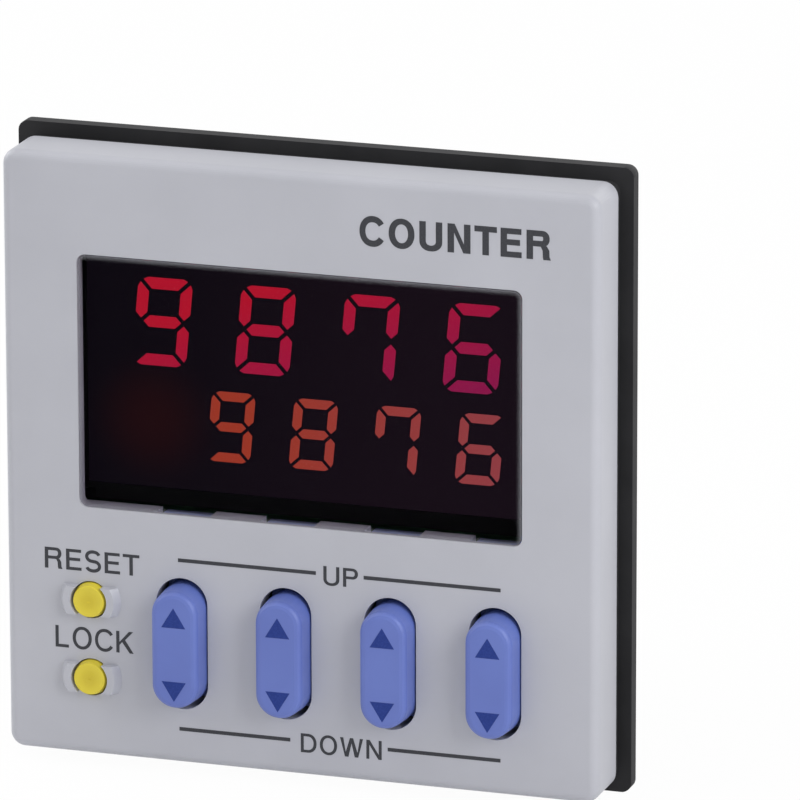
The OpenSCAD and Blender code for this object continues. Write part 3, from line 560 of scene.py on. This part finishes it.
# Each segment's bar, and whether it is mirrored across and up
segments = {"a": (top_bar, 1, 1), "b": (side_bar, 1, 1), "c": (side_bar, 1, -1),
            "d": (top_bar, 1, -1), "e": (side_bar, -1, -1), "f": (side_bar, -1, 1),
            "g": (middle_bar, 1, 1)}
lit = {"9": "abcdfg", "8": "abcdefg", "7": "abcf", "6": "acdefg"}
slant = math.tan(math.radians(5.5))


def lit_figures(node, figures, material):
    """The lit segments of a row, with softly cut corners, in place of the row's plain films."""
    low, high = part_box(node)
    tall = high.z - low.z
    reach = (half - gap + 0.5 * slant) * tall
    corners, faces = [], []
    for i, figure in enumerate(figures):
        middle_x = low.x + reach + (high.x - low.x - 2 * reach) * i / (len(figures) - 1)
        for outline, mirror_x, mirror_z in (segments[s] for s in lit[figure]):
            base, n = len(corners), len(outline)
            for y in (low.y, high.y):
                corners += [(middle_x + tall * (mirror_x * x + slant * mirror_z * z), y,
                             low.z + tall * (0.5 + mirror_z * z)) for x, z in outline]
            faces += [[base + k for k in range(n)], [base + n + k for k in range(n)]]
            faces += [[base + k, base + (k + 1) % n, base + n + (k + 1) % n, base + n + k]
                      for k in range(n)]
    mesh = bpy.data.meshes.new(node + "_lit")
    mesh.from_pydata(corners, [], faces)
    outward = bmesh.new()
    outward.from_mesh(mesh)
    bmesh.ops.recalc_face_normals(outward, faces=outward.faces)
    outward.to_mesh(mesh)
    outward.free()
    mesh.materials.append(material)
    row = bpy.data.objects.new(node + "_lit", mesh)
    bpy.context.scene.collection.objects.link(row)
    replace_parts(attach(row, "housing"), node)


lit_figures("upper_digits", "9876",
            lit_segments("lit_red_segments", "#B8142C", "#90184B",
                         x_share=0.03, z_share=-0.08, offset=1.2))
lit_figures("lower_digits", "9876",
            lit_segments("lit_orange_segments", "#A23B28", "#984347",
                         x_share=0.05, z_share=0.0, offset=0.2))

clear_acrylic, _, shader, _ = new_material("clear_moulded_acrylic")
shader.inputs["Base Color"].default_value = linear("#E8ECEE")
shader.inputs["Roughness"].default_value = 0.15
shader.inputs["IOR"].default_value = 1.49
shader.inputs["Transmission Weight"].default_value = 0.6
finish(["light_guide"], clear_acrylic)

lamp_resin = moulded("white_lamp_resin", "#ECE8DA", "#E4DFCE", 0.4, 0.2, 0.001)
finish(["backlight_leds"], lamp_resin)
strip_rubber = moulded("layered_silicone_rubber", "#5A5A5C", "#4C4C4E", 0.7, 0.05, 0.002)
finish(["contact_strip"], strip_rubber)


# ---- Boards and what is soldered to them ----
# Two boards of glass-fibre laminate under green solder mask, joined by a pin header. The display
# board carries the push switches and chips, the power board the transformer, relay and the rest.
green_mask, tree, shader, place = new_material("green_solder_mask")
weave = add_node(tree, "ShaderNodeTexChecker", inputs={
    "Vector": place, "Scale": 1 / (0.5 * MM),
    "Color1": linear("#1E5C38"), "Color2": linear("#206239")})
tree.links.new(weave.outputs["Color"], shader.inputs["Base Color"])
shader.inputs["Roughness"].default_value = 0.3
finish(["display_board", "power_board"], green_mask)

black_nylon = moulded("black_nylon", "#17171A", "#131316", 0.5, 0.08, 0.002)
finish(["tact_switches", "header_blocks", "output_relay"], black_nylon)
chip_resin = moulded("moulded_chip_resin", "#1B1B1D", "#161618", 0.55, 0.06, 0.002)
finish(["microcontroller", "memory_chip", "input_couplers"], chip_resin)

gold_flash, _, shader, _ = new_material("gold_flashed_brass")
shader.inputs["Base Color"].default_value = linear("#D9BC6A")
shader.inputs["Metallic"].default_value = 1.0
shader.inputs["Roughness"].default_value = 0.25
finish(["header_pins"], gold_flash)


def layered_metal(name, colour, layer_mm, depth_mm, metallic, roughness):
    """Metal in layers along Y, such as stacked sheets or turns of wire, with grooves between."""
    metal, tree, shader, place = new_material(name)
    layers = add_node(tree, "ShaderNodeTexWave", {"bands_direction": "Y"}, {
        "Vector": place, "Scale": 1 / (2 * math.pi * layer_mm * MM)})
    relief = add_node(tree, "ShaderNodeBump", inputs={
        "Height": layers.outputs["Fac"], "Distance": depth_mm * MM, "Strength": 1.0})
    tree.links.new(relief.outputs["Normal"], shader.inputs["Normal"])
    shader.inputs["Base Color"].default_value = linear(colour)
    shader.inputs["Metallic"].default_value = metallic
    shader.inputs["Roughness"].default_value = roughness
    return metal


core_sheets = layered_metal("stacked_core_sheets", "#55555A", layer_mm=0.35, depth_mm=0.03,
                            metallic=0.8, roughness=0.5)
finish(["transformer_core"], core_sheets)
wound_wire = layered_metal("enamelled_winding_wire", "#A05A22", layer_mm=0.12, depth_mm=0.04,
                           metallic=0.6, roughness=0.35)
finish(["transformer_coil"], wound_wire)

navy_sleeve = moulded("shrunk_navy_sleeve", "#1D2748", "#192240", 0.3, 0.4, 0.004)
finish(["smoothing_capacitor"], navy_sleeve)
dipped_blue = moulded("dipped_blue_coating", "#2F6FA8", "#2A659B", 0.35, 0.5, 0.01)
finish(["surge_disc"], dipped_blue)


# ---- Rear case ----
# A second moulding of the same light grey ABS, a square tube with a stepped rear, snap windows in
# its sides and saw teeth on top and below for the clamp.
case_abs = moulded("spark_textured_case_abs", "#AEB0B4", "#A9ABAF", 0.48, 0.14, 0.005)
finish(["rear_case"], case_abs)


# ---- Plug base and its pins ----
# A round base compression-moulded from dark brown phenolic resin, with a keyed post in the middle
# and a ring of nickel-plated brass pins pressed into it.
brown_phenolic = moulded("compression_moulded_phenolic", "#2A211D", "#231B18", 0.4, 0.25, 0.004,
                         cloud_mm=2.0)
finish(["plug_base"], brown_phenolic)

nickel_plate = lined_metal("nickel_plated_brass", "#C9C2B2", squeeze=(12, 1, 12), line_mm=3,
                           smoothest=0.2, roughest=0.36)
finish(["plug_pins"], nickel_plate)


# ---- Panel gasket ----
# A moulded ring of black nitrile rubber between the bezel and the panel. It stands out past the
# front all round, is dull, and its softened outer edges take a little light.
black_rubber = moulded("black_nitrile_rubber", "#28282A", "#212123", 0.65, 0.18, 0.006,
                       cloud_mm=4.0, specular=0.22)
finish(["panel_gasket"], black_rubber)
soften("panel_gasket", 0.15, 12)


# ---- Floor ----
# A plain white sheet under the counter, which stands a hair above it. The camera and reflections
# see it as almost plain white, and the rest is the sheet itself with the counter's soft shadow.
floor_half = 3.0
floor_gap = 0.2 * MM
floor_z = cad_box[0].z - floor_gap
mesh = bpy.data.meshes.new("floor")
mesh.from_pydata([(x * floor_half, y * floor_half, floor_z)
                  for x, y in ((-1, -1), (1, -1), (1, 1), (-1, 1))], [], [(0, 1, 2, 3)])
floor = bpy.data.objects.new("floor", mesh)
bpy.context.scene.collection.objects.link(floor)

white_sheet, tree, shader, _ = new_material("white_paper_sheet")
shader.inputs["Base Color"].default_value = linear("#EDEDED")
shader.inputs["Roughness"].default_value = 0.9
seen = add_node(tree, "ShaderNodeLightPath")
plain_white = add_node(tree, "ShaderNodeEmission", inputs={
    "Color": (1, 1, 1, 1), "Strength": 1.0})
looked_at = add_node(tree, "ShaderNodeMath", {"operation": "MAXIMUM"}, {
    0: seen.outputs["Is Camera Ray"], 1: seen.outputs["Is Glossy Ray"]})
plain_share = 0.97
share = add_node(tree, "ShaderNodeMath", {"operation": "MULTIPLY"}, {
    0: looked_at.outputs[0], 1: plain_share})
both = add_node(tree, "ShaderNodeMixShader", inputs={
    "Fac": share.outputs[0], 1: shader.outputs["BSDF"], 2: plain_white.outputs["Emission"]})
tree.links.new(both.outputs["Shader"], tree.nodes["Material Output"].inputs["Surface"])
mesh.materials.append(white_sheet)


# ---- Lamps and world ----
# Soft boxes all round: two above, a strong one on the left, a near one on the right, a broad one
# behind the camera and one at the back. The world is white where it is seen, and grey as light.
world = bpy.data.worlds.new("studio")
bpy.context.scene.world = world
world.use_nodes = True
tree = world.node_tree
seen = add_node(tree, "ShaderNodeLightPath")
looked_at = add_node(tree, "ShaderNodeMath", {"operation": "MAXIMUM"}, {
    0: seen.outputs["Is Camera Ray"], 1: seen.outputs["Is Glossy Ray"]})
shown = add_node(tree, "ShaderNodeMath", {"operation": "MAXIMUM"}, {
    0: looked_at.outputs[0], 1: seen.outputs["Is Transmission Ray"]})
strength = add_node(tree, "ShaderNodeMapRange", inputs={
    "Value": shown.outputs[0], "To Min": 0.35, "To Max": 1.0})
tree.links.new(strength.outputs["Result"], tree.nodes["Background"].inputs["Strength"])
tree.nodes["Background"].inputs["Color"].default_value = (1, 1, 1, 1)


def soft_box(name, place, size, power):
    """A square lamp, its place and size in metres and its power in watts, aimed at the origin."""
    lamp = bpy.data.lights.new(name, "AREA")
    lamp.size = size
    lamp.energy = power
    box = bpy.data.objects.new(name, lamp)
    box.location = place
    box.rotation_euler = (-Vector(place)).to_track_quat("-Z", "Y").to_euler()
    bpy.context.scene.collection.objects.link(box)


soft_box("upper_left_box", (-0.45, -0.35, 0.55), size=0.45, power=0.65)
soft_box("top_box", (-0.10, -0.05, 0.65), size=0.40, power=0.70)
soft_box("left_box", (-0.62, 0.12, 0.36), size=0.50, power=2.7)
soft_box("right_box", (0.30, -0.155, 0.16), size=0.24, power=0.80)
soft_box("front_box", (0.10, -0.90, 0.30), size=0.60, power=0.85)
soft_box("back_box", (0.25, 0.80, 0.35), size=0.50, power=1.2)


# ---- Camera ----
# A long lens from the right and a little above, as fitted to the photo: its angles in degrees, the
# point of the front that it is aimed at, and its distance in metres.
azimuth, elevation, roll = (math.radians(a) for a in (18.348, 15.850, -0.139))
aim = Vector((8.167 * MM, face_y, 6.834 * MM))
distance = 0.70919
back = Vector((math.sin(azimuth) * math.cos(elevation), -math.cos(azimuth) * math.cos(elevation),
               math.sin(elevation)))
right = Vector((math.cos(azimuth), math.sin(azimuth), 0))
up = back.cross(right)
right, up = (math.cos(roll) * right + math.sin(roll) * up,
             -math.sin(roll) * right + math.cos(roll) * up)
camera = bpy.data.objects.new("camera", bpy.data.cameras.new("camera"))
camera.data.sensor_width = 36
camera.data.lens = 420.2
camera.data.clip_start = 0.01
camera.data.clip_end = 20
camera.matrix_world = Matrix.Translation(aim + distance * back) @ Matrix(
    (right, up, back)).transposed().to_4x4()
bpy.context.scene.collection.objects.link(camera)
bpy.context.scene.camera = camera

bpy.context.scene.view_settings.view_transform = "Standard"
